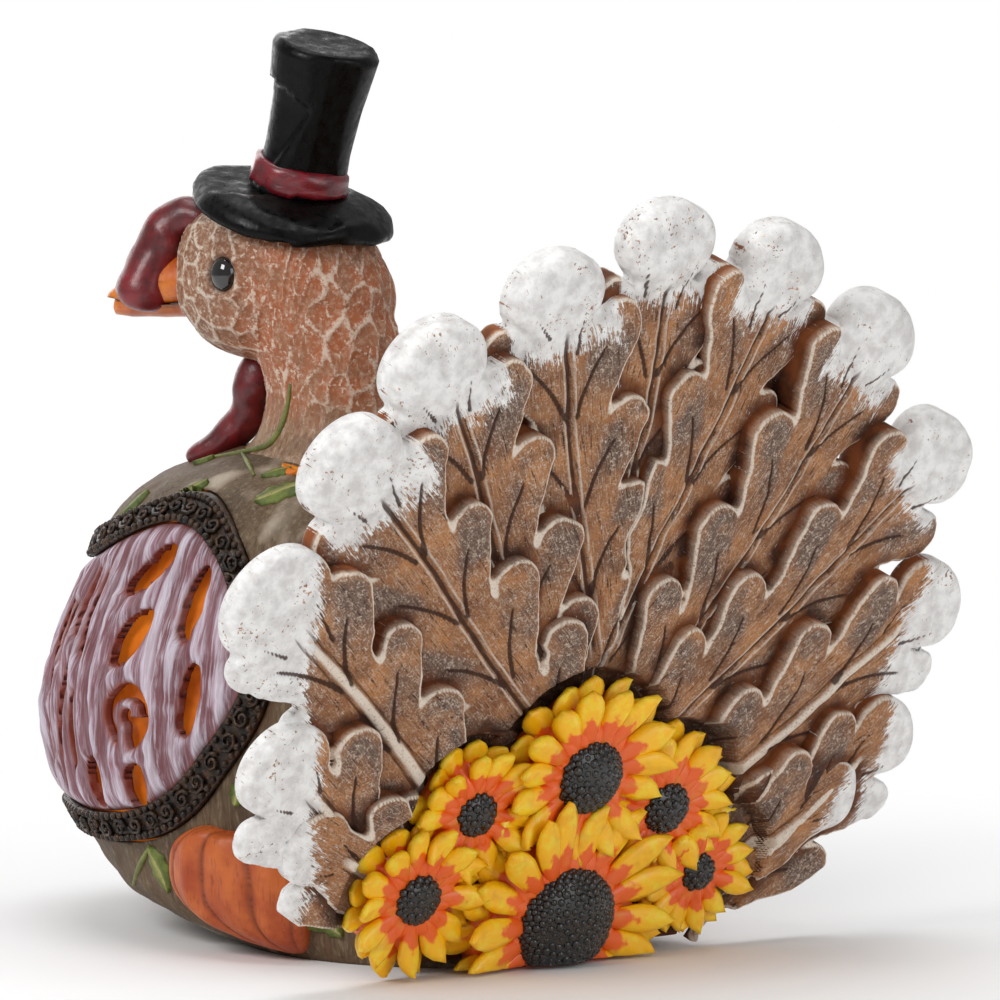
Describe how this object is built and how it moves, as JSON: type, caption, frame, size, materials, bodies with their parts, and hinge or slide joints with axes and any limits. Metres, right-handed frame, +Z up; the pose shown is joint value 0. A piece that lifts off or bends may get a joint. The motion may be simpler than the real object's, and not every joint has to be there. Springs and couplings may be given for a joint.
{
  "type": "turkey figure",
  "caption": "Painted resin table figure of a turkey with a lit openwork breast, a hat, a leaning fan of oak leaf feathers, sunflowers and a battery base",
  "frame": {"origin": "middle of the bounding box at floor level", "axes": "+Z up, -Y the way the breast faces, +X the figure's left side"},
  "size_m": [0.1994, 0.1974, 0.195],
  "materials": {
    "wood_paint": "hand painted, carved wood look",
    "lilac_paint": "hand painted, dry brushed",
    "bronze_paint": "hand painted, satin",
    "amber_diffuser": "translucent",
    "eye_gloss": "gloss",
    "beak_paint": "hand painted",
    "crimson_paint": "satin",
    "hat_paint": "satin",
    "feather_paint": "hand painted, dry brushed, white tips",
    "petal_paint": "lacquered",
    "seed_gloss": "lacquered",
    "pumpkin_paint": "hand painted",
    "black_plastic": "moulded",
    "plated_steel": "plated",
    "cell_jacket": "satin",
    "board_lacquer": "lacquered",
    "lamp_lens": "clear",
    "red_wire": "smooth",
    "black_wire": "smooth"
  },
  "bodies": {
    "figure": {"base_plate": "black_plastic", "battery_1": "cell_jacket", "battery_2": "cell_jacket", "battery_3": "cell_jacket", "battery_box": "black_plastic", "beak_lower": "beak_paint", "beak_upper": "beak_paint", "body_shell": "wood_paint", "breast_band": "bronze_paint", "breast_grille": "lilac_paint", "breast_liner": "amber_diffuser", "contacts_front": "plated_steel", "contacts_rear": "plated_steel", "eye_left": "eye_gloss", "eye_right": "eye_gloss", "feather_centre": "feather_paint", "feather_left_1": "feather_paint", "feather_left_2": "feather_paint", "feather_left_3": "feather_paint", "feather_left_4": "feather_paint", "feather_left_5": "feather_paint", "feather_left_6": "feather_paint", "feather_right_1": "feather_paint", "feather_right_2": "feather_paint", "feather_right_3": "feather_paint", "feather_right_4": "feather_paint", "feather_right_5": "feather_paint", "feather_right_6": "feather_paint", "hat_band": "crimson_paint", "hat_brim": "hat_paint", "hat_crown": "hat_paint", "lamp": "lamp_lens", "led_board": "board_lacquer", "neck_head": "wood_paint", "pumpkin_left": "pumpkin_paint", "pumpkin_right": "pumpkin_paint", "screw_left": "plated_steel", "screw_right": "plated_steel", "snood": "crimson_paint", "sunflower_left_high_disc": "seed_gloss", "sunflower_left_high_petals": "petal_paint", "sunflower_left_low_disc": "seed_gloss", "sunflower_left_low_petals": "petal_paint", "sunflower_low_disc": "seed_gloss", "sunflower_low_petals": "petal_paint", "sunflower_right_high_disc": "seed_gloss", "sunflower_right_high_petals": "petal_paint", "sunflower_right_low_disc": "seed_gloss", "sunflower_right_low_petals": "petal_paint", "sunflower_top_disc": "seed_gloss", "sunflower_top_petals": "petal_paint", "switch_body": "black_plastic", "tail_backing": "wood_paint", "wattle": "crimson_paint", "wire_black": "black_wire", "wire_red": "red_wire"},
    "door": {"battery_door": "black_plastic"},
    "knob": {"switch_knob": "black_plastic"}
  },
  "joints": [
    {"name": "battery_door_hinge", "type": "hinge", "parent": "figure", "child": "door", "pos_m": [-0.00332, -0.01406, 0.0016], "axis": [-1, 0, 0], "range_deg": [0, 85]},
    {"name": "light_switch_slide", "type": "slide", "parent": "figure", "child": "knob", "axis": [-1, 0, 0], "range_m": [0, 0.003]}
  ]
}
